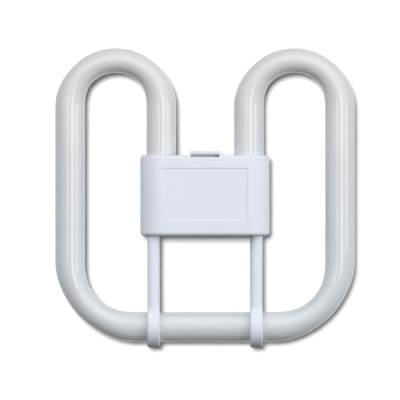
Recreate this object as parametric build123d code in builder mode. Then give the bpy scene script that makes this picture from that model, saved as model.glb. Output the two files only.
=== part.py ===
from build123d import *

import os
from math import cos, radians, sin

# Square compact fluorescent lamp, lying on the rim of its cap. X runs across the lamp, Y towards the
# two U-bends and Z up through the front cover. The origin is the middle of the cap's rim.

# Glass tube
tube_diameter = 13.7
run_gap = 26.5
loop_gap = 28.2
crown_rise = 62.0
cross_run_drop = 60.4
corner_bend_radius = 30.0
crown_thickness = 11.3
crown_ease = 50
corner_thickness = 11.9
corner_ease = 36
bend_step = 10
shoulder_length = 5.0
pinch_length = 5.0
pinch_width = 9.6
pinch_thickness = 3.6

# Moulded base, in two shells that part at the tube's axis
base_length = 37.0
tube_cover = 2.75
shell_wall = 1.8
edge_round = 1.7
hole_clearance = 0.35
saddle_clearance = 0.1
saddle_thickness = 1.5
saddle_lip = 0.8
rim_height = 1.2
rim_clearance = 0.1
seam_chamfer = 0.15
wiring_space = 4.6

# Front cover
panel_width = 39.2
panel_height = 24.2
panel_lift = 0.5
panel_depth = 0.25
panel_corner = 0.8
bridge_width = 15.0
bridge_thickness = 1.25
bridge_drop = 1.0
slot_width = 13.1
slot_gap = 1.55
tongue_clearance = 0.2
tongue_drop = 4.5

# Legs and clips on the cross run
leg_spacing = 47.2
leg_width = 5.7
leg_rise = 5.0
leg_wall = 1.5
leg_front = 2.6
leg_round = 2.7
leg_clearance = 0.2
clip_thickness = 2.45
clip_grip = 25
clip_chamfer = 0.5

# Cap on the back
cap_length = 30.4
cap_width = 19.4
cap_corner = 2.6
cap_chamfer = 0.5
well_length = 26.0
well_width = 15.0
well_corner = 1.6
well_depth = 8.0
cap_floor = 2.1
catch_width = 5.0
catch_height = 2.0
catch_depth = 3.4
bow_rise = 0.6

# Contact pins
pin_spacing = 8.0
pin_diameter = 2.4
pin_recess = 1.0
pin_tip = 0.5
shank_diameter = 3.0
shank_clearance = 0.02
flange_diameter = 4.2
flange_thickness = 0.7
lead_drilling = 2.4

# Starter circuit
starter_diameter = 7.0
starter_length = 16.0
starter_offset = 4.6
starter_gap = 2.0
starter_headroom = 1.2
starter_shoulder = 2.2
starter_pinch = 3.0
starter_lead_pitch = 2.0
capacitor_length = 12.0
capacitor_width = 4.6
capacitor_height = 8.0
capacitor_offset = 4.8
capacitor_round = 1.5
capacitor_lead_pitch = 5.0
cradle_wall = 0.7
cradle_clearance = 0.1
cradle_thickness = 1.4
cradle_first = 3.0
cradle_second = 9.0

# Wires, ferrules, sleeves and cement
wire_diameter = 0.6
wire_clearance = 0.04
wire_turn = 1.0
seal_depth = 4.0
tube_lead_pitch = 4.8
lane_gap = 0.8
lane_rise = 3.5
pin_lead_drop = 1.4
feed_drop = 3.0
crimp_diameter = 2.6
crimp_bore = 1.5
crimp_length = 4.0
crimp_gap = 3.2
crimp_overlap = 3.0
crimp_left_offset = -7.0
crimp_right_offset = 1.0
sleeve_diameter = 1.5
sleeve_bore = 0.8
cement_length = 4.0
cement_clearance = 0.04

# Sizes that follow
tube_radius = tube_diameter / 2
run_x = (run_gap + tube_diameter) / 2
u_bend_radius = (loop_gap + tube_diameter) / 2
outer_x = run_x + 2 * u_bend_radius
end_radius = tube_radius + tube_cover
cavity_radius = end_radius - shell_wall
floor_height = well_depth + cap_floor
axis_height = floor_height + cavity_radius
front_height = axis_height + end_radius
half_width = run_x + end_radius
half_length = base_length / 2
inner_length = half_length - shell_wall
slot_y = half_length - shell_wall / 2 + slot_gap / 2
u_bend_y = crown_rise - u_bend_radius
corner_x = outer_x - corner_bend_radius
corner_y = corner_bend_radius - cross_run_drop
pinch_end = wiring_space - inner_length
run_end = pinch_end + pinch_length + shoulder_length
leg_x = leg_spacing / 2
clip_bore = tube_radius + saddle_clearance
clip_radius = clip_bore + clip_thickness
pin_x = pin_spacing / 2
wire_radius = wire_diameter / 2
starter_radius = starter_diameter / 2
starter_height = front_height - shell_wall - starter_headroom - starter_radius
starter_top = inner_length - starter_gap
starter_end = starter_top - starter_length - starter_pinch
capacitor_base = starter_height - capacitor_height / 2
lane_x = starter_offset + starter_radius + cradle_wall + lane_gap
flange_top = floor_height + flange_thickness
lane_height = flange_top + lane_rise
crimp_top = starter_end - crimp_gap
cradle_places = (starter_top - cradle_first, starter_top - cradle_second)
saddle_places = (inner_length - cement_length - 2 * saddle_thickness, run_end + saddle_thickness)

os.makedirs("parts", exist_ok=True)


def write_piece(piece, label):
    piece.label = label
    export_step(piece, f"parts/{label}.step")


def straight_run(start, direction, length):
    """A straight length of the tube."""
    with BuildSketch(Plane(origin=start, z_dir=direction)) as ring:
        Circle(tube_radius)
    extrude(ring.sketch, amount=length)


def bend(centre, radius, first_angle, turn, thinnest, ease):
    """A bend whose section flattens from the round tube to its thinnest and back."""
    steps = round(abs(turn) / bend_step)
    sections = []
    for step in range(steps + 1):
        turned = abs(turn) * step / steps
        from_end = min(turned, abs(turn) - turned, ease)
        share = 0.5 - 0.5 * cos(radians(180 * from_end / ease))
        thickness = tube_diameter + share * (thinnest - tube_diameter)
        angle = radians(first_angle + turn * step / steps)
        place = (centre[0] + radius * cos(angle), centre[1] + radius * sin(angle), axis_height)
        with BuildSketch(Plane(place, x_dir=(0, 0, 1), z_dir=(-sin(angle), cos(angle), 0))) as ring:
            Ellipse(tube_radius, thickness / 2)
        sections.append(ring.sketch.face())
    loft(sections)


def half_section(inset, side):
    """Half of the base's slot-shaped section, above (1) or below (-1) the parting plane."""
    with BuildSketch(Plane.XZ) as section:
        with Locations((0, axis_height)):
            SlotCenterToCenter(2 * run_x, 2 * (end_radius - inset))
            Rectangle(
                2 * half_width,
                end_radius,
                align=(Align.CENTER, Align.MIN if side > 0 else Align.MAX),
                mode=Mode.INTERSECT,
            )
    return section.sketch


def saddle_section(side, half):
    """A rib that fills one end of the section up to the tube, with the tube's own seat cut out."""
    inner_edge = run_gap / 2 - saddle_lip
    with BuildSketch(Plane.XZ) as section:
        add(half_section(shell_wall / 2, half))
        with Locations((side * (inner_edge + half_width) / 2, axis_height)):
            Rectangle(half_width - inner_edge, 2 * end_radius, mode=Mode.INTERSECT)
        with Locations((side * run_x, axis_height)):
            Circle(tube_radius + saddle_clearance, mode=Mode.SUBTRACT)
    return section.sketch


def rim_section(outer_inset, inner_inset):
    """The band inside the base's outline in which the two shells' edges overlap."""
    with BuildSketch(Plane.XY.offset(axis_height)) as band:
        Rectangle(2 * (half_width - outer_inset), 2 * (half_length - outer_inset))
        Rectangle(2 * (half_width - inner_inset), 2 * (half_length - inner_inset), mode=Mode.SUBTRACT)
    return band.sketch


def shell_body(shell, half):
    """One half of the hollow base, its ends rounded about the tube runs and its edges softened."""
    extrude(half_section(0, half), amount=half_length, both=True)
    end_edges = shell.faces().filter_by(Axis.Y).edges()
    fillet(end_edges.filter_by(lambda edge: abs(edge.center().Z - axis_height) > seam_chamfer), edge_round)
    seam_face = shell.faces().filter_by(Axis.Z).sort_by(Axis.Z)[0 if half > 0 else -1]
    chamfer(seam_face.edges(), length=seam_chamfer)
    extrude(half_section(shell_wall, half), amount=inner_length, both=True, mode=Mode.SUBTRACT)
    for side in (-1, 1):
        for place in saddle_places:
            rib = saddle_section(side, half)
            extrude(rib.moved(Location((0, place, 0))), amount=saddle_thickness / 2, both=True)


def tube_holes():
    """Round holes through the upper wall where the two inner runs enter."""
    with BuildSketch(Plane.XZ.offset(-inner_length + shell_wall)) as holes:
        with Locations((-run_x, axis_height), (run_x, axis_height)):
            Circle(tube_radius + hole_clearance)
    extrude(holes.sketch, amount=-3 * shell_wall, mode=Mode.SUBTRACT)


def wire(points, label):
    """A round wire along straight runs with sharp turns."""
    with BuildPart() as lead:
        with BuildLine() as route:
            Polyline(*points)
        with BuildSketch(Plane(origin=route.line @ 0, z_dir=route.line % 0)):
            Circle(wire_radius)
        sweep(transition=Transition.RIGHT)
    write_piece(lead.part, label)


# Glass tube with its bends drawn thinner, and both ends pinched flat round their leads
with BuildPart() as discharge_tube:
    straight_run((-corner_x, -cross_run_drop, axis_height), (1, 0, 0), 2 * corner_x)
    for side in (-1, 1):
        corner_centre = (side * corner_x, corner_y)
        bend(corner_centre, corner_bend_radius, -90, side * 90, corner_thickness, corner_ease)
        straight_run((side * outer_x, corner_y, axis_height), (0, 1, 0), u_bend_y - corner_y)
        u_centre = (side * (run_x + u_bend_radius), u_bend_y)
        bend(u_centre, u_bend_radius, 0, 180, crown_thickness, crown_ease)
        straight_run((side * run_x, run_end, axis_height), (0, 1, 0), u_bend_y - run_end)
        end_plane = Plane((side * run_x, run_end, axis_height), x_dir=(1, 0, 0), z_dir=(0, -1, 0))
        with BuildSketch(end_plane):
            Circle(tube_radius)
        with BuildSketch(end_plane.offset(shoulder_length)) as pinch:
            Ellipse(pinch_width / 2, pinch_thickness / 2)
        loft()
        extrude(pinch.sketch, amount=pinch_length)
        with BuildSketch(end_plane.offset(shoulder_length + pinch_length)):
            with GridLocations(tube_lead_pitch, 0, 2, 1):
                Circle(wire_radius + wire_clearance)
        extrude(amount=-seal_depth, mode=Mode.SUBTRACT)
write_piece(discharge_tube.part, "discharge_tube")

# Front cover: flat face with a shallow panel, slotted bridge, and two half-round cored legs with clips
with BuildPart() as front_cover:
    shell_body(front_cover, 1)
    with BuildSketch(Plane.XY.offset(axis_height)):
        with Locations((0, slot_y + bridge_thickness / 2)):
            Rectangle(bridge_width, slot_gap + bridge_thickness)
    extrude(amount=end_radius - bridge_drop)
    fillet(front_cover.edges().filter_by(Axis.Z).group_by(Axis.Y)[-1], bridge_thickness * 0.7)
    with BuildSketch(Plane.XY.offset(axis_height)):
        with Locations((0, slot_y)):
            Rectangle(slot_width, slot_gap)
    extrude(amount=2 * end_radius, mode=Mode.SUBTRACT)
    extrude(
        rim_section(shell_wall / 2 - rim_clearance, shell_wall + rim_clearance),
        amount=rim_height + rim_clearance,
        mode=Mode.SUBTRACT,
    )
    tube_holes()
    for depth in (0, panel_depth):
        with BuildSketch(Plane.XY.offset(front_height - depth)):
            with Locations((0, panel_lift)):
                RectangleRounded(panel_width - 2 * depth, panel_height - 2 * depth, panel_corner - depth)
    loft(mode=Mode.SUBTRACT)
    with BuildSketch(Plane.XZ.offset(half_length)) as legs:
        with Locations((-leg_x, axis_height), (leg_x, axis_height)):
            Rectangle(leg_width, 2 * leg_rise)
        fillet(legs.vertices().group_by(Axis.Y)[-1], leg_round)
    extrude(amount=cross_run_drop - half_length - clip_bore - clip_thickness / 4)
    with BuildSketch(Plane.XZ.offset(half_length)):
        with Locations((-leg_x, axis_height), (leg_x, axis_height)):
            Rectangle(leg_width, leg_rise, align=(Align.CENTER, Align.MAX))
    extrude(amount=leg_clearance, mode=Mode.SUBTRACT)
    core_length = cross_run_drop - clip_radius - half_length - 2 * leg_wall
    with BuildSketch(Plane.XY.offset(axis_height - leg_rise)):
        with Locations(*((side * leg_x, -half_length - leg_wall - core_length / 2) for side in (-1, 1))):
            Rectangle(leg_width - 2 * leg_wall, core_length)
    extrude(amount=2 * leg_rise - leg_front, mode=Mode.SUBTRACT)
    clip_start = (0, sin(radians(clip_grip)), cos(radians(clip_grip)))
    clip_origin = (0, -cross_run_drop, axis_height)
    with BuildSketch(Plane(clip_origin, x_dir=(1, 0, 0), z_dir=clip_start)) as straps:
        with Locations(*((side * leg_x, clip_bore + clip_thickness / 2) for side in (-1, 1))):
            Rectangle(leg_width, clip_thickness)
        chamfer(straps.vertices().group_by(Axis.Y)[-1], clip_chamfer)
    revolve(axis=Axis(clip_origin, (1, 0, 0)), revolution_arc=180 + 2 * clip_grip)
write_piece(front_cover.part, "front_cover")

# Rear base: tube saddles, the cap's well with its pin holes, starter cradles, rim and tongue
with BuildPart() as rear_base:
    shell_body(rear_base, -1)
    bow_end = leg_x - leg_width / 2 - shell_wall
    bow_back = axis_height - end_radius + edge_round
    for height, rise in ((bow_back, bow_rise), (axis_height - seam_chamfer, seam_chamfer)):
        with BuildSketch(Plane.XY.offset(height)):
            with BuildLine():
                Polyline(
                    (-bow_end, -half_length),
                    (-bow_end, -inner_length - shell_wall / 2),
                    (bow_end, -inner_length - shell_wall / 2),
                    (bow_end, -half_length),
                )
                ThreePointArc((bow_end, -half_length), (0, -half_length - rise), (-bow_end, -half_length))
            make_face()
    loft()
    with BuildSketch():
        RectangleRounded(cap_length, cap_width, cap_corner)
    extrude(amount=floor_height - shell_wall / 2)
    chamfer(rear_base.faces().sort_by(Axis.Z)[0].edges(), cap_chamfer)
    with BuildSketch():
        RectangleRounded(well_length, well_width, well_corner)
    extrude(amount=well_depth, mode=Mode.SUBTRACT)
    with BuildSketch(Plane.YZ):
        with Locations((0, catch_depth)):
            Rectangle(catch_width, catch_height)
    extrude(amount=cap_length, both=True, mode=Mode.SUBTRACT)
    with BuildSketch(Plane.XY.offset(well_depth)):
        with GridLocations(pin_spacing, 0, 2, 1):
            Circle(shank_diameter / 2 + shank_clearance)
    extrude(amount=cap_floor, mode=Mode.SUBTRACT)
    extrude(rim_section(shell_wall / 2, shell_wall), amount=rim_height)
    tube_holes()
    with BuildSketch(Plane.XY.offset(axis_height - shell_wall)):
        with Locations((0, slot_y)):
            Rectangle(slot_width - 2 * tongue_clearance, slot_gap - 2 * tongue_clearance)
    extrude(amount=shell_wall + end_radius - tongue_drop)
    for place in cradle_places:
        with BuildSketch(Plane.XZ.offset(-place)):
            with Locations((-starter_offset, floor_height - shell_wall / 2)):
                Rectangle(
                    starter_diameter + 2 * cradle_wall,
                    starter_height - floor_height,
                    align=(Align.CENTER, Align.MIN),
                )
            with Locations((-starter_offset, starter_height)):
                Circle(starter_radius + cradle_clearance, mode=Mode.SUBTRACT)
            with Locations((capacitor_offset, floor_height - shell_wall / 2)):
                Rectangle(
                    capacitor_width + 2 * (cradle_wall + cradle_clearance),
                    starter_height - floor_height,
                    align=(Align.CENTER, Align.MIN),
                )
            with Locations((capacitor_offset, capacitor_base)):
                Rectangle(
                    capacitor_width + 2 * cradle_clearance,
                    capacitor_height,
                    align=(Align.CENTER, Align.MIN),
                    mode=Mode.SUBTRACT,
                )
        extrude(amount=cradle_thickness / 2, both=True)
write_piece(rear_base.part, "rear_base")

for label, side in (("left", -1), ("right", 1)):
    # Turned contact pin: bevelled tip, shank in the well's floor, and a flange drilled for its lead
    pin_plane = Plane((side * pin_x, 0, 0), x_dir=(1, 0, 0), z_dir=(0, -1, 0))
    with BuildPart() as contact_pin:
        with BuildSketch(pin_plane):
            with BuildLine():
                Polyline(
                    (0, pin_recess),
                    (pin_diameter / 2 - pin_tip, pin_recess),
                    (pin_diameter / 2, pin_recess + pin_tip),
                    (pin_diameter / 2, well_depth),
                    (shank_diameter / 2, well_depth),
                    (shank_diameter / 2, floor_height),
                    (flange_diameter / 2, floor_height),
                    (flange_diameter / 2, flange_top),
                    (wire_radius + wire_clearance, flange_top),
                    (wire_radius + wire_clearance, flange_top - lead_drilling),
                    (0, flange_top - lead_drilling),
                    close=True,
                )
            make_face()
        revolve(axis=Axis((side * pin_x, 0, 0), (0, 0, 1)))
    write_piece(contact_pin.part, f"contact_pin_{label}")

    # Ring of cement that beds the tube just inside the upper wall
    with BuildPart() as tube_cement:
        with BuildSketch(Plane.XZ.offset(-inner_length + cement_clearance)):
            with Locations((side * run_x, axis_height)):
                Circle(cavity_radius - cement_clearance)
                Circle(tube_radius + cement_clearance, mode=Mode.SUBTRACT)
        extrude(amount=cement_length)
    write_piece(tube_cement.part, f"tube_cement_{label}")

# Glow starter: a small bottle with sloping shoulders and a flat pinch
starter_plane = Plane((-starter_offset, starter_top, starter_height), x_dir=(1, 0, 0), z_dir=(0, -1, 0))
with BuildPart() as glow_starter:
    with BuildSketch(starter_plane):
        Circle(starter_radius)
    extrude(amount=starter_length)
    chamfer(glow_starter.edges().filter_by(GeomType.CIRCLE), starter_shoulder)
    with BuildSketch(starter_plane.offset(starter_length - starter_pinch)):
        Rectangle(starter_lead_pitch + 4 * wire_diameter, 3 * wire_diameter)
    extrude(amount=2 * starter_pinch)
    with BuildSketch(starter_plane.offset(starter_length + starter_pinch)):
        with GridLocations(starter_lead_pitch, 0, 2, 1):
            Circle(wire_radius + wire_clearance)
    extrude(amount=-starter_pinch, mode=Mode.SUBTRACT)
write_piece(glow_starter.part, "glow_starter")

# Suppression capacitor: a dipped block with both leads at one end
capacitor_end = starter_top - capacitor_length
with BuildPart() as suppression_capacitor:
    with BuildSketch(Plane.XZ.offset(-starter_top)):
        with Locations((capacitor_offset, starter_height)):
            Rectangle(capacitor_width, capacitor_height)
    extrude(amount=capacitor_length)
    fillet(suppression_capacitor.edges().filter_by(Axis.Y), capacitor_round)
    with BuildSketch(Plane.XZ.offset(-capacitor_end)):
        with Locations((capacitor_offset, starter_height)):
            with GridLocations(0, capacitor_lead_pitch, 1, 2):
                Circle(wire_radius + wire_clearance)
    extrude(amount=-2 * capacitor_round, mode=Mode.SUBTRACT)
write_piece(suppression_capacitor.part, "suppression_capacitor")

# Ferrules on the two joints, each with a feed lead below and a starter and a capacitor lead above
wire_offset = crimp_bore / 2 - wire_radius - wire_clearance
spread = wire_offset * cos(radians(30))
crimp_height = axis_height + wire_offset
joint_height = crimp_height + wire_offset * sin(radians(30))
joint_end = crimp_top - crimp_overlap
feed_y = pinch_end - feed_drop
for label, crimp_x in (("left", crimp_left_offset), ("right", crimp_right_offset)):
    with BuildPart() as crimp:
        with BuildSketch(Plane.XZ.offset(-crimp_top)):
            with Locations((crimp_x, crimp_height)):
                Circle(crimp_diameter / 2)
                Circle(crimp_bore / 2, mode=Mode.SUBTRACT)
        extrude(amount=crimp_length)
    write_piece(crimp.part, f"crimp_{label}")

# Leads from each tube end: the inner one to its pin, the outer one in a sleeve to its ferrule
for label, side, crimp_x in (("left", -1, crimp_left_offset), ("right", 1, crimp_right_offset)):
    pin_seal_x = side * (run_x - tube_lead_pitch / 2)
    feed_seal_x = side * (run_x + tube_lead_pitch / 2)
    seal_y = pinch_end + seal_depth - wire_clearance
    pin_lead_y = pinch_end - pin_lead_drop
    pin_route = (
        (pin_seal_x, seal_y, axis_height),
        (pin_seal_x, pin_lead_y, axis_height),
        (side * lane_x, pin_lead_y, lane_height),
        (side * lane_x, 0, lane_height),
        (side * pin_x, 0, lane_height),
        (side * pin_x, 0, flange_top - lead_drilling + wire_clearance),
    )
    wire(pin_route, f"pin_lead_{label}")
    feed_route = (
        (feed_seal_x, seal_y, axis_height),
        (feed_seal_x, feed_y, axis_height),
        (crimp_x, feed_y, axis_height),
        (crimp_x, crimp_top - crimp_length + crimp_overlap, axis_height),
    )
    wire(feed_route, f"feed_lead_{label}")
    sleeve_start = feed_seal_x - side * 2 * wire_turn
    sleeve_stop = crimp_x + side * 2 * wire_turn
    with BuildPart() as feed_sleeve:
        with BuildSketch(Plane.YZ.offset(min(sleeve_start, sleeve_stop))):
            with Locations((feed_y, axis_height)):
                Circle(sleeve_diameter / 2)
                Circle(sleeve_bore / 2, mode=Mode.SUBTRACT)
        extrude(amount=abs(sleeve_start - sleeve_stop))
    write_piece(feed_sleeve.part, f"feed_sleeve_{label}")

# Leads of the starter and the capacitor, down into the two ferrules
for label, side, crimp_x in (("left", -1, crimp_left_offset), ("right", 1, crimp_right_offset)):
    starter_lead_x = side * starter_lead_pitch / 2 - starter_offset
    starter_route = (
        (starter_lead_x, starter_end + starter_pinch - wire_clearance, starter_height),
        (starter_lead_x, starter_end - wire_turn, starter_height),
        (crimp_x - side * spread, crimp_top + wire_turn, joint_height),
        (crimp_x - side * spread, joint_end, joint_height),
    )
    wire(starter_route, f"starter_lead_{label}")
    capacitor_lead_z = starter_height - side * capacitor_lead_pitch / 2
    capacitor_route = (
        (capacitor_offset, capacitor_end + 2 * capacitor_round - wire_clearance, capacitor_lead_z),
        (capacitor_offset, capacitor_end - 2 * wire_turn, capacitor_lead_z),
        (crimp_x + side * spread, starter_end - wire_turn, capacitor_lead_z),
        (crimp_x + side * spread, crimp_top + wire_turn, joint_height),
        (crimp_x + side * spread, joint_end, joint_height),
    )
    wire(capacitor_route, f"capacitor_lead_{label}")
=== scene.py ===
"""Square compact fluorescent lamp: the finish of every piece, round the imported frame, on a white table."""

from collections import namedtuple
from math import atan2, cos, pi, radians

import bmesh
import bpy
from bpy.props import FloatProperty, FloatVectorProperty, IntProperty, PointerProperty
from bpy.types import Operator, Panel, PropertyGroup
from mathutils import Matrix, Vector


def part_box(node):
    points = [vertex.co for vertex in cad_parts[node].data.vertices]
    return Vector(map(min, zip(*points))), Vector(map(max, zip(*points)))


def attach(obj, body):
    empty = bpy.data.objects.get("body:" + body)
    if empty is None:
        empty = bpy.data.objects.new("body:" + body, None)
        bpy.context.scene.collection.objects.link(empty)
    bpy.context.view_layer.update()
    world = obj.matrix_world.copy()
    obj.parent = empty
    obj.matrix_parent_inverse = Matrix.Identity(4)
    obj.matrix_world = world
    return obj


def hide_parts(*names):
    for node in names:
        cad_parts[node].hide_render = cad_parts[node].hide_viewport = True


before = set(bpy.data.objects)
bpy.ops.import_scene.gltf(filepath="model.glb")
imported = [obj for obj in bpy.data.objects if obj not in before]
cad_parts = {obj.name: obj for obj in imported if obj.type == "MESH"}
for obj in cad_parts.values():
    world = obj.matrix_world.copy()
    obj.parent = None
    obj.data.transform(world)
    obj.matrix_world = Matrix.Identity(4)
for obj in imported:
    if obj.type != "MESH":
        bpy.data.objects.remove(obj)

bl_info = {
    "name": "Square Compact Fluorescent Lamp",
    "version": (1, 0, 0),
    "blender": (4, 5, 0),
    "location": "View3D > Sidebar > Lamp",
    "description": "Glass tube, moulded base, pins and inner parts of a square lamp, with its stage",
    "category": "Object",
}

MM = 0.001
BODY = "root"
MERGE_DISTANCE = 0.002 * MM

# Attribute of the tube's mesh that keeps where each point lies in the tube's round section
ROUND_TUBE = "round_tube"

# Length after which a wave texture repeats, at a scale of 1
WAVE_PERIOD = pi / 10

# Sockets of a Mix node that mixes colours
MIX_SHARE, MIX_FIRST, MIX_SECOND, MIX_RESULT = 0, 6, 7, 2

# Panels over the table: a share of their level, and edges and drop below the softbox in millimetres
LightPanel = namedtuple("LightPanel", "name share left right near far drop")
SOFTBOX = (
    LightPanel("near_softbox", share=1.0, left=-2600, right=2820, near=35, far=700, drop=0),
    LightPanel("far_softbox", share=1.5, left=-2600, right=2820, near=700, far=2600, drop=0),
)
STRIPS = (
    LightPanel("left_strip", share=0.85, left=-700, right=-330, near=-60, far=200, drop=20),
    LightPanel("middle_strip", share=1.2, left=160, right=720, near=-130, far=200, drop=20),
    LightPanel("right_strip", share=0.75, left=1300, right=2900, near=-50, far=200, drop=20),
)

# Distant lights: a share of their level, and the way from the lamp towards the light
DistantLight = namedtuple("DistantLight", "name share way")
WINGS = (
    DistantLight("left_wing", share=1.0, way=(-0.8, 0.45, 0.5)),
    DistantLight("right_wing", share=1.45, way=(0.87, 0.1, 0.5)),
)
TABLE_SUN = (DistantLight("table_sun", share=1.0, way=(-0.07, 0.09, 1)),)
TABLE_SKY = (DistantLight("table_sky", share=1.0, way=(0, 0, 1)),)

# Way towards the brighter side of the surroundings
DOME_WAY = (0.35, 0.94, 0)

# Sides of the round table, and the shares of its radius between which it turns to plain white
TABLE_SEGMENTS = 96
WHITE_START, WHITE_END = 0.3, 0.9

NEAREST_SEEN = 10 * MM

# Places that the frame gives
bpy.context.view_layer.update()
tube_low, tube_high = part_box("discharge_tube")
cover_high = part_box("front_cover")[1]
tube_radius = (tube_high.z - tube_low.z) / 2
axis_z = (tube_high.z + tube_low.z) / 2
outer_x = tube_high.x - tube_radius
cross_y = tube_low.y + tube_radius
run_x = cover_high.x - (cover_high.z - axis_z)
u_bend_radius = (outer_x - run_x) / 2


# Settings
def linear(hex_colour):
    """A linear RGBA colour from an sRGB hex value."""
    channels = [int(hex_colour[start:start + 2], 16) / 255 for start in (0, 2, 4)]
    return (*(c / 12.92 if c <= 0.04045 else ((c + 0.055) / 1.055) ** 2.4 for c in channels), 1.0)


def size(name, text, value):
    """A length setting, given in millimetres."""
    return FloatProperty(name=name, description=text, default=value * MM, unit="LENGTH", precision=5)


def angle(name, text, degrees):
    """An angle setting, given in degrees."""
    return FloatProperty(name=name, description=text, default=radians(degrees), subtype="ANGLE")


def colour(name, text, hex_colour):
    """A colour setting, given as sRGB hex."""
    return FloatVectorProperty(
        name=name, description=text, default=linear(hex_colour), size=4, subtype="COLOR", min=0, max=1
    )


def level(name, text, value):
    """A setting for how bright a light is."""
    return FloatProperty(name=name, description=text, default=value, min=0, max=20)


class GlassSettings(PropertyGroup):
    """Sizes and colours of the bent glass tube."""

    corner_radius: size("Corner radius", "Bend radius of the two lower corners", 30.0)
    corner_thickness: size("Corner thickness", "Width left of the tube in the corner bends", 11.9)
    crown_thickness: size("Crown thickness", "Width left of the tube at the top of the U-bends", 11.3)
    corner_ease: angle("Corner ease", "Turn over which a corner narrows", 36)
    crown_ease: angle("Crown ease", "Turn over which a U-bend narrows", 50)
    run_end: size("Run end", "Where the inner runs begin to close, from the cap's middle", -2.1)
    shoulder: size("Shoulder", "Length over which a tube end closes", 5.0)
    pinch: size("Pinch", "Length of the flat pinched end", 5.0)
    pinch_width: size("Pinch width", "Width of the pinched end", 9.6)
    pinch_thickness: size("Pinch thickness", "Thickness of the pinched end", 3.6)
    segments: IntProperty(name="Segments", description="Sides of the round tube", default=64, min=12)
    steps: IntProperty(name="Steps", description="Steps in a quarter turn", default=24, min=4)
    run_steps: IntProperty(name="Run steps", description="Steps in a straight run", default=12, min=1)
    coat: colour("Coat", "Phosphor coat behind the glass", "ced3d7")
    # Along the lamp, from the warm start up to the top of the U-bends, the coat turns to this warmer hue
    warm_coat: colour("Warm coat", "Phosphor coat of the U-bends, which the flame warms most", "d3d2d3")
    warm_start: size("Warm start", "Where along the lamp the coat begins to warm", -20.0)
    thin_coat: colour("Thin coat", "Share of its colour that the coat keeps where it lies thinner", "f7f8f9")
    coat_patch: size("Coat patch", "Size of the coat's faint patches", 9.0)
    waviness: size("Waviness", "Spacing of the drawn glass's faint waves", 9.0)
    draw_line: size("Draw line", "Spacing of the faint lines that drawing leaves along the tube", 1.6)


class MouldingSettings(PropertyGroup):
    """Colours and grain of the white moulded base."""

    body: colour("Moulding", "Bluish white moulding", "dadfe8")
    shade: colour("Moulding shade", "The moulding's faint darker flow marks", "d6dbe4")
    flow_size: size("Flow", "Size of the flow marks", 16.0)
    grain_size: size("Grain", "Size of the mould's fine matt grain", 0.7)


class FittingSettings(PropertyGroup):
    """Colours and grain of the pins and of what the base holds."""

    brass: colour("Brass", "Turned contact pins", "c9b27a")
    copper: colour("Copper", "Drawn copper leads", "c98a5e")
    tin: colour("Tin", "Tinned ferrules", "c9c8c4")
    cement: colour("Cement", "Bedding cement", "d8cfb9")
    starter: colour("Starter glass", "Glass of the starter bottle", "e4ecec")
    capacitor: colour("Capacitor", "Dipped capacitor", "a4562c")
    sleeve: colour("Sleeve", "Woven insulating sleeve", "e2dfd2")
    turning: size("Turning", "Spacing of the turning marks on the pins", 0.25)
    weave: size("Weave", "Thread spacing of the sleeves", 0.35)
    copper_grain: size("Copper grain", "Size of the leads' faint blotches", 0.5)
    tin_grain: size("Tin grain", "Size of the tin's crystals", 0.6)
    cement_grit: size("Cement grit", "Size of the cement's grit", 0.8)
    glass_ripple: size("Glass ripple", "Spacing of the starter glass's faint ripples", 3.0)
    coat_dimple: size("Coat dimple", "Size of the dimples in the capacitor's dipped coat", 2.0)


class StageSettings(PropertyGroup):
    """Camera, table and lights."""

    view_x: size("View X", "Where the middle of the picture lies across the lamp", -2.3)
    view_y: size("View Y", "Where the middle of the picture lies along the lamp", -2.1)
    view_width: size("View width", "Width of the picture in the plane of the tube", 183.8)
    camera_height: size("Camera height", "Camera above the plane of the tube", 5000.0)
    light_height: size("Light height", "Height of the softbox above the table", 1500.0)
    softbox_level: level("Softbox level", "Brightness of the softbox's near part", 0.95)
    strip_level: level("Strip level", "Brightness of the strips at the softbox's near edge", 3.1)
    wing_level: level("Wing level", "Strength of the broad lights at the left and right", 1.08)
    wing_spread: angle("Wing spread", "Softness of the broad lights", 50)
    sun_level: level("Sun level", "Strength of the light that casts the shadow on the table", 3.55)
    sun_spread: angle("Sun spread", "Softness of that light", 9)
    sky_level: level("Sky level", "Strength of the broad light that fills the shadow on the table", 0.8)
    sky_spread: angle("Sky spread", "Softness of the light that fills the shadow", 150)
    dome_low: level("Dome low", "Brightness of the surroundings on the near side", 0.0)
    dome_high: level("Dome high", "Brightness of the surroundings on the far side", 0.05)
    table_size: size("Table", "Radius of the round white table", 600.0)
    table: colour("Table", "White table top as the camera sees it", "e6e6e6")
    table_bounce: colour("Table bounce", "Table top as it lights the lamp", "181818")


# Materials
def add_node(tree, kind, settings=None, links=None):
    """Adds a node, gives it its settings and input values, and links its inputs."""
    node = tree.nodes.new(kind)
    for key, value in (settings or {}).items():
        if isinstance(key, str) and key in node.bl_rna.properties:
            setattr(node, key, value)
        else:
            node.inputs[key].default_value = value
    for key, source in (links or {}).items():
        tree.links.new(source, node.inputs[key])
    return node


def emptied_tree(owner):
    """The node tree of a material or a world, with nothing in it."""
    owner.use_nodes = True
    owner.node_tree.nodes.clear()
    return owner.node_tree


def new_material(name, values):
    """A material whose shader has these values, which are the same all over the surface."""
    material = bpy.data.materials.new(name)
    tree = emptied_tree(material)
    shader = add_node(tree, "ShaderNodeBsdfPrincipled", values)
    add_node(tree, "ShaderNodeOutputMaterial", links={"Surface": shader.outputs["BSDF"]})
    return material, tree, shader


def darker(tint, depth):
    """A colour darkened by a share."""
    return [(1 - depth) * channel for channel in tint[:3]] + [1.0]


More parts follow.
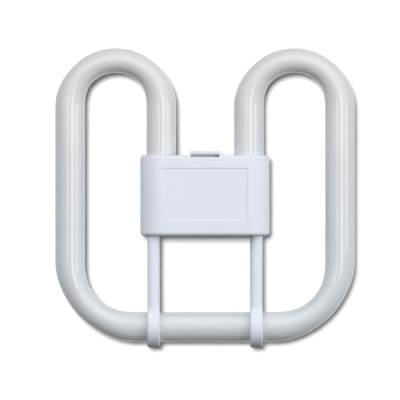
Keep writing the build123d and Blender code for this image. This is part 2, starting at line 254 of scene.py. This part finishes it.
def phosphor_glass(settings):
    """Drawn soda-lime glass over a white phosphor coat: opaque, glossy, with faint waves and drawn lines."""
    material, tree, shader = new_material("phosphor_glass", {"Roughness": 0.06, "IOR": 1.5})
    place = add_node(tree, "ShaderNodeTexCoord").outputs["Object"]
    along = add_node(tree, "ShaderNodeSeparateXYZ", links={0: place}).outputs["Y"]
    # The coat's hue turns warmer from the warm start up to the top of the tube
    warmth = add_node(
        tree,
        "ShaderNodeMapRange",
        {"From Min": settings.warm_start, "From Max": tube_high.y},
        {"Value": along},
    )
    warmed = add_node(
        tree,
        "ShaderNodeMix",
        {"data_type": "RGBA", MIX_FIRST: settings.coat, MIX_SECOND: settings.warm_coat},
        {MIX_SHARE: warmth.outputs["Result"]},
    )
    patches = add_node(
        tree,
        "ShaderNodeTexNoise",
        {"Scale": 1 / settings.coat_patch, "Detail": 3.0, "Roughness": 0.55},
        {"Vector": place},
    )
    tone = add_node(
        tree,
        "ShaderNodeMix",
        {"data_type": "RGBA", "blend_type": "MULTIPLY", MIX_SECOND: settings.thin_coat},
        {MIX_SHARE: patches.outputs["Fac"], MIX_FIRST: warmed.outputs[MIX_RESULT]},
    )
    tree.links.new(tone.outputs[MIX_RESULT], shader.inputs["Base Color"])
    waves = add_node(
        tree,
        "ShaderNodeTexNoise",
        {"Scale": 1 / settings.waviness, "Detail": 1.0},
        {"Vector": place},
    )
    wavy = add_node(
        tree,
        "ShaderNodeBump",
        {"Strength": 0.12, "Distance": 0.2 * MM},
        {"Height": waves.outputs["Fac"]},
    )
    # Drawing leaves lines along the tube that part its reflections into threads
    around = add_node(tree, "ShaderNodeAttribute", {"attribute_name": ROUND_TUBE}).outputs["Vector"]
    lines = add_node(
        tree,
        "ShaderNodeTexNoise",
        {"Scale": 1 / settings.draw_line, "Detail": 2.0},
        {"Vector": around},
    )
    drawn = add_node(
        tree,
        "ShaderNodeBump",
        {"Strength": 0.5, "Distance": 0.02 * MM},
        {"Height": lines.outputs["Fac"], "Normal": wavy.outputs["Normal"]},
    )
    tree.links.new(drawn.outputs["Normal"], shader.inputs["Normal"])
    return material


def white_moulding(settings):
    """Injection moulded white polycarbonate: matt, from a mould with a fine grain, with faint flow marks."""
    material, tree, shader = new_material("white_moulding", {"IOR": 1.58})
    place = add_node(tree, "ShaderNodeTexCoord").outputs["Object"]
    flow = add_node(
        tree,
        "ShaderNodeTexNoise",
        {"Scale": 1 / settings.flow_size, "Detail": 2.0},
        {"Vector": place},
    )
    tone = add_node(
        tree,
        "ShaderNodeMix",
        {"data_type": "RGBA", MIX_FIRST: settings.shade, MIX_SECOND: settings.body},
        {MIX_SHARE: flow.outputs["Fac"]},
    )
    tree.links.new(tone.outputs[MIX_RESULT], shader.inputs["Base Color"])
    # The real grain is about 0.05 mm; it is drawn coarser so that it shows
    grain = add_node(
        tree,
        "ShaderNodeTexNoise",
        {"Scale": 1 / settings.grain_size, "Detail": 2.0},
        {"Vector": place},
    )
    matt = add_node(
        tree,
        "ShaderNodeMapRange",
        {"To Min": 0.72, "To Max": 0.84},
        {"Value": grain.outputs["Fac"]},
    )
    tree.links.new(matt.outputs["Result"], shader.inputs["Roughness"])
    bump = add_node(
        tree,
        "ShaderNodeBump",
        {"Strength": 0.08, "Distance": 0.02 * MM},
        {"Height": grain.outputs["Fac"]},
    )
    tree.links.new(bump.outputs["Normal"], shader.inputs["Normal"])
    return material


def turned_brass(settings):
    """Turned brass: a warm metal with fine rings round its axis."""
    material, tree, shader = new_material("turned_brass", {"Metallic": 1.0})
    place = add_node(tree, "ShaderNodeTexCoord").outputs["Object"]
    # The real marks are about 0.1 mm apart; they are drawn coarser so that they show
    rings = add_node(
        tree,
        "ShaderNodeTexWave",
        {"bands_direction": "Z", "Scale": WAVE_PERIOD / settings.turning, "Distortion": 1.5},
        {"Vector": place},
    )
    tone = add_node(
        tree,
        "ShaderNodeMix",
        {"data_type": "RGBA", MIX_FIRST: darker(settings.brass, 0.2), MIX_SECOND: settings.brass},
        {MIX_SHARE: rings.outputs["Fac"]},
    )
    tree.links.new(tone.outputs[MIX_RESULT], shader.inputs["Base Color"])
    gloss = add_node(
        tree,
        "ShaderNodeMapRange",
        {"To Min": 0.2, "To Max": 0.34},
        {"Value": rings.outputs["Fac"]},
    )
    tree.links.new(gloss.outputs["Result"], shader.inputs["Roughness"])
    return material


def raise_by(tree, shader, pattern, tint, depth):
    """Lets a pattern vary the tone of a plain finish, and raise its surface."""
    tone = add_node(
        tree,
        "ShaderNodeMix",
        {"data_type": "RGBA", MIX_FIRST: darker(tint, depth), MIX_SECOND: tint},
        {MIX_SHARE: pattern},
    )
    tree.links.new(tone.outputs[MIX_RESULT], shader.inputs["Base Color"])
    bump = add_node(
        tree,
        "ShaderNodeBump",
        {"Strength": 0.3, "Distance": 0.05 * MM},
        {"Height": pattern},
    )
    tree.links.new(bump.outputs["Normal"], shader.inputs["Normal"])


def grained(name, tint, grain, depth, values):
    """A plain finish whose tone and surface vary with a fine grain."""
    material, tree, shader = new_material(name, values)
    place = add_node(tree, "ShaderNodeTexCoord").outputs["Object"]
    noise = add_node(tree, "ShaderNodeTexNoise", {"Scale": 1 / grain, "Detail": 3.0}, {"Vector": place})
    raise_by(tree, shader, noise.outputs["Fac"], tint, depth)
    return material


def woven_sleeve(settings):
    """Braided glass fibre: a matt off-white sleeve whose threads cross on the slant."""
    material, tree, shader = new_material("woven_sleeve", {"Roughness": 0.85})
    place = add_node(tree, "ShaderNodeTexCoord").outputs["Object"]
    threads = []
    for slant in (radians(45), radians(-45)):
        laid = add_node(tree, "ShaderNodeMapping", {"Rotation": (0, slant, slant)}, {"Vector": place})
        bands = add_node(
            tree,
            "ShaderNodeTexWave",
            {"bands_direction": "X", "Scale": WAVE_PERIOD / settings.weave},
            {"Vector": laid.outputs["Vector"]},
        )
        threads.append(bands.outputs["Fac"])
    crossing = add_node(
        tree,
        "ShaderNodeMath",
        {"operation": "MAXIMUM"},
        {0: threads[0], 1: threads[1]},
    )
    raise_by(tree, shader, crossing.outputs[0], settings.sleeve, depth=0.3)
    return material


def background_rays(tree):
    """1 for the rays that see the background: straight from the camera, mirrored or through glass."""
    path = add_node(tree, "ShaderNodeLightPath")
    mirrored = add_node(
        tree,
        "ShaderNodeMath",
        {"operation": "MAXIMUM"},
        {0: path.outputs["Is Camera Ray"], 1: path.outputs["Is Glossy Ray"]},
    )
    passed = add_node(
        tree,
        "ShaderNodeMath",
        {"operation": "MAXIMUM"},
        {0: mirrored.outputs[0], 1: path.outputs["Is Transmission Ray"]},
    )
    return passed.outputs[0]


# Pieces
def finish_piece(bm, name, node, material, sharp_angle):
    """Makes the mesh an object that rides on the lamp and stands for its CAD node."""
    mesh = bpy.data.meshes.new(name)
    bm.to_mesh(mesh)
    bm.free()
    # A copy of a CAD mesh brings the normals of its loose triangles along
    if "custom_normal" in mesh.attributes:
        mesh.attributes.remove(mesh.attributes["custom_normal"])
    mesh.shade_smooth()
    mesh.set_sharp_from_angle(angle=sharp_angle)
    mesh.materials.append(material)
    piece = bpy.data.objects.new(name, mesh)
    bpy.context.scene.collection.objects.link(piece)
    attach(piece, BODY)
    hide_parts(node)


def give_material(node, material):
    """A carried-over CAD node takes a better material."""
    node.data.materials.clear()
    node.data.materials.append(material)


def draw_on(bm, ring, shift, steps=1):
    """Draws the tube's open end on by a straight length, and returns the new end's edges."""
    for _ in range(steps):
        made = bmesh.ops.extrude_edge_only(bm, edges=ring)["geom"]
        ends = {item for item in made if isinstance(item, bmesh.types.BMVert)}
        bmesh.ops.translate(bm, verts=list(ends), vec=Vector(shift) / steps)
        edges = [item for item in made if isinstance(item, bmesh.types.BMEdge)]
        ring = [edge for edge in edges if ends.issuperset(edge.verts)]
    return ring


def bend_on(bm, ring, centre, turn, steps):
    """Bends the tube's open end on about an upright axis, and returns the new end's edges."""
    geometry = ring + list({vert for edge in ring for vert in edge.verts})
    made = bmesh.ops.spin(
        bm,
        geom=geometry,
        cent=(centre.x, centre.y, axis_z),
        axis=(0, 0, 1),
        angle=turn,
        steps=steps,
        use_merge=False,
        use_duplicate=False,
    )["geom_last"]
    return [item for item in made if isinstance(item, bmesh.types.BMEdge)]


def draw_thinner(verts, centre, first_angle, turn, radius, thickness, ease):
    """Narrows a bend as drawn glass does, from the full tube at its ends to its thinnest."""
    thinnest = thickness / (2 * tube_radius)
    for vert in verts:
        offset = vert.co.xy - centre
        turned = atan2(offset.y, offset.x) - first_angle
        from_end = min(max(min(turned, turn - turned), 0), ease)
        share = 0.5 - 0.5 * cos(pi * from_end / ease)
        width = 1 + share * (thinnest - 1)
        vert.co.xy = centre + offset.normalized() * (radius + width * (offset.length - radius))


class LAMP_OT_glass_tube(Operator):
    """Bends the glass tube: cross run, corners, outer runs, U-bends and inner runs with pinched ends"""

    bl_idname = "lamp.glass_tube"
    bl_label = "Glass tube"

    def execute(self, context):
        glass = context.scene.lamp_glass
        corner = Vector((outer_x - glass.corner_radius, cross_y + glass.corner_radius))
        crown_y = tube_high.y - glass.crown_thickness / 2 - u_bend_radius
        crown = Vector((outer_x - u_bend_radius, crown_y))
        bm = bmesh.new()
        # The right half, from the middle of the cross run to its pinched end
        start = Matrix.Translation((0, cross_y, axis_z)) @ Matrix.Rotation(radians(90), 4, "Y")
        bmesh.ops.create_circle(bm, segments=glass.segments, radius=tube_radius, matrix=start)
        round_tube = bm.verts.layers.float_vector.new(ROUND_TUBE)
        for vert in bm.verts:
            vert[round_tube] = vert.co - start.translation
        ring = draw_on(bm, list(bm.edges), (corner.x, 0, 0), glass.run_steps)
        ring = bend_on(bm, ring, corner, radians(90), glass.steps)
        ring = draw_on(bm, ring, (0, crown.y - corner.y, 0), glass.run_steps)
        ring = bend_on(bm, ring, crown, radians(180), 2 * glass.steps)
        ring = draw_on(bm, ring, (0, glass.run_end - crown.y, 0), glass.run_steps)
        ring = draw_on(bm, ring, (0, -glass.shoulder, 0))
        pinch_middle = Matrix.Translation((-run_x, 0, -axis_z))
        bmesh.ops.scale(
            bm,
            vec=(glass.pinch_width / (2 * tube_radius), 1, glass.pinch_thickness / (2 * tube_radius)),
            space=pinch_middle,
            verts=list({vert for edge in ring for vert in edge.verts}),
        )
        ring = draw_on(bm, ring, (0, -glass.pinch, 0))
        bmesh.ops.contextual_create(bm, geom=ring)
        draw_thinner(
            [vert for vert in bm.verts if vert.co.x > corner.x and vert.co.y < corner.y],
            centre=corner,
            first_angle=radians(-90),
            turn=radians(90),
            radius=glass.corner_radius,
            thickness=glass.corner_thickness,
            ease=glass.corner_ease,
        )
        draw_thinner(
            [vert for vert in bm.verts if vert.co.y > crown.y],
            centre=crown,
            first_angle=0,
            turn=radians(180),
            radius=u_bend_radius,
            thickness=glass.crown_thickness,
            ease=glass.crown_ease,
        )
        half = bm.verts[:] + bm.edges[:] + bm.faces[:]
        bmesh.ops.mirror(bm, geom=half, axis="X", merge_dist=MERGE_DISTANCE)
        bmesh.ops.remove_doubles(bm, verts=bm.verts, dist=MERGE_DISTANCE)
        bmesh.ops.recalc_face_normals(bm, faces=bm.faces)
        material = phosphor_glass(glass)
        finish_piece(bm, "glass_tube", "discharge_tube", material, sharp_angle=radians(60))
        return {"FINISHED"}


class LAMP_OT_mouldings(Operator):
    """Gives the front cover and the rear base their smooth shading and matt finish"""

    bl_idname = "lamp.mouldings"
    bl_label = "Mouldings"

    def execute(self, context):
        material = white_moulding(context.scene.lamp_moulding)
        for name, node in (("cover_moulding", "front_cover"), ("base_moulding", "rear_base")):
            bm = bmesh.new()
            bm.from_mesh(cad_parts[node].data)
            bmesh.ops.remove_doubles(bm, verts=bm.verts, dist=MERGE_DISTANCE)
            finish_piece(bm, name, node, material, sharp_angle=radians(25))
        return {"FINISHED"}


class LAMP_OT_fittings(Operator):
    """Finishes the pins, and the starter, capacitor, leads, ferrules, sleeves and cement inside the base"""

    bl_idname = "lamp.fittings"
    bl_label = "Pins and inner parts"

    def execute(self, context):
        fitting = context.scene.lamp_fitting
        metal = {"Metallic": 1.0, "Roughness": 0.3}
        finishes = {
            "contact_pin": turned_brass(fitting),
            # Ceramic cement that was pressed in wet: dull and gritty
            "tube_cement": grained(
                "bedding_cement", fitting.cement, fitting.cement_grit, depth=0.2, values={"Roughness": 0.9}
            ),
            # Blown glass: shiny, with faint ripples
            "glow_starter": grained(
                "starter_glass", fitting.starter, fitting.glass_ripple, depth=0.05, values={"Roughness": 0.08}
            ),
            # Dipped epoxy: shiny and a little dimpled
            "suppression_capacitor": grained(
                "dipped_coat", fitting.capacitor, fitting.coat_dimple, depth=0.2, values={"Roughness": 0.25}
            ),
            # Tinned brass, crimped: bright, with a fine crystal grain
            "crimp": grained("tinned_ferrule", fitting.tin, fitting.tin_grain, depth=0.15, values=metal),
            "feed_sleeve": woven_sleeve(fitting),
        }
        # Drawn copper wire: bright and reddish, with faint blotches
        copper = grained("drawn_copper", fitting.copper, fitting.copper_grain, depth=0.15, values=metal)
        replaced = {"discharge_tube", "front_cover", "rear_base"}
        for name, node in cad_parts.items():
            if name in replaced:
                continue
            kinds = [kind for kind in finishes if name.startswith(kind)]
            give_material(node, finishes[kinds[0]] if kinds else copper)
        return {"FINISHED"}


# Stage
class LAMP_OT_stage(Operator):
    """Sets the lamp on a white table under a softbox, with the camera straight above it"""

    bl_idname = "lamp.stage"
    bl_label = "Stage"

    def execute(self, context):
        stage = context.scene.lamp_stage
        scene = context.scene
        scene.view_settings.view_transform = "Standard"
        table = self.make_table(scene, stage)
        self.make_lights(scene, stage, table)
        self.make_world(scene, stage)
        self.make_camera(scene, stage)
        return {"FINISHED"}

    def make_table(self, scene, stage):
        """A round table that keeps the lamp's shadow, and turns to plain white towards its rim."""
        bm = bmesh.new()
        bmesh.ops.create_circle(bm, cap_ends=True, segments=TABLE_SEGMENTS, radius=stage.table_size)
        mesh = bpy.data.meshes.new("table")
        bm.to_mesh(mesh)
        bm.free()
        material = bpy.data.materials.new("white_table")
        tree = emptied_tree(material)
        top = add_node(tree, "ShaderNodeBsdfDiffuse", {"Color": stage.table})
        place = add_node(tree, "ShaderNodeTexCoord").outputs["Object"]
        reach = add_node(tree, "ShaderNodeVectorMath", {"operation": "LENGTH"}, {0: place})
        rim = add_node(
            tree,
            "ShaderNodeMapRange",
            {"From Min": WHITE_START * stage.table_size, "From Max": WHITE_END * stage.table_size},
            {"Value": reach.outputs["Value"]},
        )
        white = add_node(tree, "ShaderNodeEmission")
        seen = add_node(
            tree,
            "ShaderNodeMixShader",
            links={0: rim.outputs["Result"], 1: top.outputs[0], 2: white.outputs[0]},
        )
        bounce = add_node(tree, "ShaderNodeBsdfDiffuse", {"Color": stage.table_bounce})
        surface = add_node(
            tree,
            "ShaderNodeMixShader",
            links={0: background_rays(tree), 1: bounce.outputs[0], 2: seen.outputs[0]},
        )
        add_node(tree, "ShaderNodeOutputMaterial", links={"Surface": surface.outputs[0]})
        mesh.materials.append(material)
        table = bpy.data.objects.new("table", mesh)
        scene.collection.objects.link(table)
        return table

    def make_lights(self, scene, stage, table):
        """Softbox, strips and wings that light the lamp, and two lights for the table alone."""
        all_but_table = bpy.data.collections.new("all_but_table")
        all_but_table.objects.link(table)
        all_but_table.collection_objects[0].light_linking.link_state = "EXCLUDE"
        table_alone = bpy.data.collections.new("table_alone")
        table_alone.objects.link(table)
        for panels, brightness in ((SOFTBOX, stage.softbox_level), (STRIPS, stage.strip_level)):
            for panel in panels:
                light = bpy.data.lights.new(panel.name, "AREA")
                light.shape = "RECTANGLE"
                light.size = (panel.right - panel.left) * MM
                light.size_y = (panel.far - panel.near) * MM
                # With this energy the panel's face is as bright as its share of the level
                light.energy = panel.share * brightness * pi * light.size * light.size_y
                holder = self.hang(scene, light, all_but_table)
                holder.location = (
                    (panel.left + panel.right) / 2 * MM,
                    (panel.near + panel.far) / 2 * MM,
                    stage.light_height - panel.drop * MM,
                )
        for distant_lights, strength, spread, lit in (
            (WINGS, stage.wing_level, stage.wing_spread, all_but_table),
            (TABLE_SUN, stage.sun_level, stage.sun_spread, table_alone),
            (TABLE_SKY, stage.sky_level, stage.sky_spread, table_alone),
        ):
            for distant in distant_lights:
                light = bpy.data.lights.new(distant.name, "SUN")
                light.energy = distant.share * strength
                light.angle = spread
                holder = self.hang(scene, light, lit)
                holder.rotation_euler = Vector(distant.way).to_track_quat("Z", "Y").to_euler()
                holder.visible_glossy = False

    def hang(self, scene, light, lit):
        """Hangs a light in the scene that reaches what the collection says."""
        holder = bpy.data.objects.new(light.name, light)
        holder.light_linking.receiver_collection = lit
        scene.collection.objects.link(holder)
        return holder

    def make_world(self, scene, stage):
        """Faint surroundings that light the lamp, behind a background that looks plain white."""
        world = bpy.data.worlds.new("surroundings")
        tree = emptied_tree(world)
        way = add_node(tree, "ShaderNodeTexCoord").outputs["Generated"]
        side = add_node(
            tree,
            "ShaderNodeVectorMath",
            {"operation": "DOT_PRODUCT", 1: DOME_WAY},
            {0: way},
        )
        shade = add_node(
            tree,
            "ShaderNodeMapRange",
            {"From Min": -1.0, "To Min": stage.dome_low, "To Max": stage.dome_high},
            {"Value": side.outputs["Value"]},
        )
        dome = add_node(
            tree,
            "ShaderNodeBackground",
            {"Color": (1, 1, 1, 1)},
            {"Strength": shade.outputs["Result"]},
        )
        white = add_node(tree, "ShaderNodeBackground", {"Strength": 1.0, "Color": (1, 1, 1, 1)})
        mixed = add_node(
            tree,
            "ShaderNodeMixShader",
            links={0: background_rays(tree), 1: dome.outputs[0], 2: white.outputs[0]},
        )
        add_node(tree, "ShaderNodeOutputWorld", links={"Surface": mixed.outputs[0]})
        scene.world = world

    def make_camera(self, scene, stage):
        """A camera that looks straight down, from far enough off to see the lamp almost flat."""
        lens = bpy.data.cameras.new("camera")
        lens.lens = lens.sensor_width * stage.camera_height / stage.view_width
        lens.clip_start = NEAREST_SEEN
        camera = bpy.data.objects.new("camera", lens)
        camera.location = (stage.view_x, stage.view_y, axis_z + stage.camera_height)
        scene.collection.objects.link(camera)
        scene.camera = camera


# Add-on
class LAMP_PT_panel(Panel):
    """The lamp's steps and settings"""

    bl_label = "Square lamp"
    bl_idname = "LAMP_PT_panel"
    bl_space_type = "VIEW_3D"
    bl_region_type = "UI"
    bl_category = "Lamp"

    def draw(self, context):
        layout = self.layout
        for step, settings in STEPS:
            box = layout.box()
            box.operator(step.bl_idname)
            group = getattr(context.scene, settings)
            for name in group.__annotations__:
                box.prop(group, name)


SETTINGS = {
    "lamp_glass": GlassSettings,
    "lamp_moulding": MouldingSettings,
    "lamp_fitting": FittingSettings,
    "lamp_stage": StageSettings,
}
STEPS = (
    (LAMP_OT_glass_tube, "lamp_glass"),
    (LAMP_OT_mouldings, "lamp_moulding"),
    (LAMP_OT_fittings, "lamp_fitting"),
    (LAMP_OT_stage, "lamp_stage"),
)
CLASSES = (*SETTINGS.values(), *(step for step, _ in STEPS), LAMP_PT_panel)


def register():
    for item in CLASSES:
        bpy.utils.register_class(item)
    for name, group in SETTINGS.items():
        setattr(bpy.types.Scene, name, PointerProperty(type=group))


def unregister():
    for name in SETTINGS:
        delattr(bpy.types.Scene, name)
    for item in reversed(CLASSES):
        bpy.utils.unregister_class(item)


def main():
    register()
    bpy.ops.lamp.glass_tube()
    bpy.ops.lamp.mouldings()
    bpy.ops.lamp.fittings()
    bpy.ops.lamp.stage()


if __name__ == "__main__":
    main()
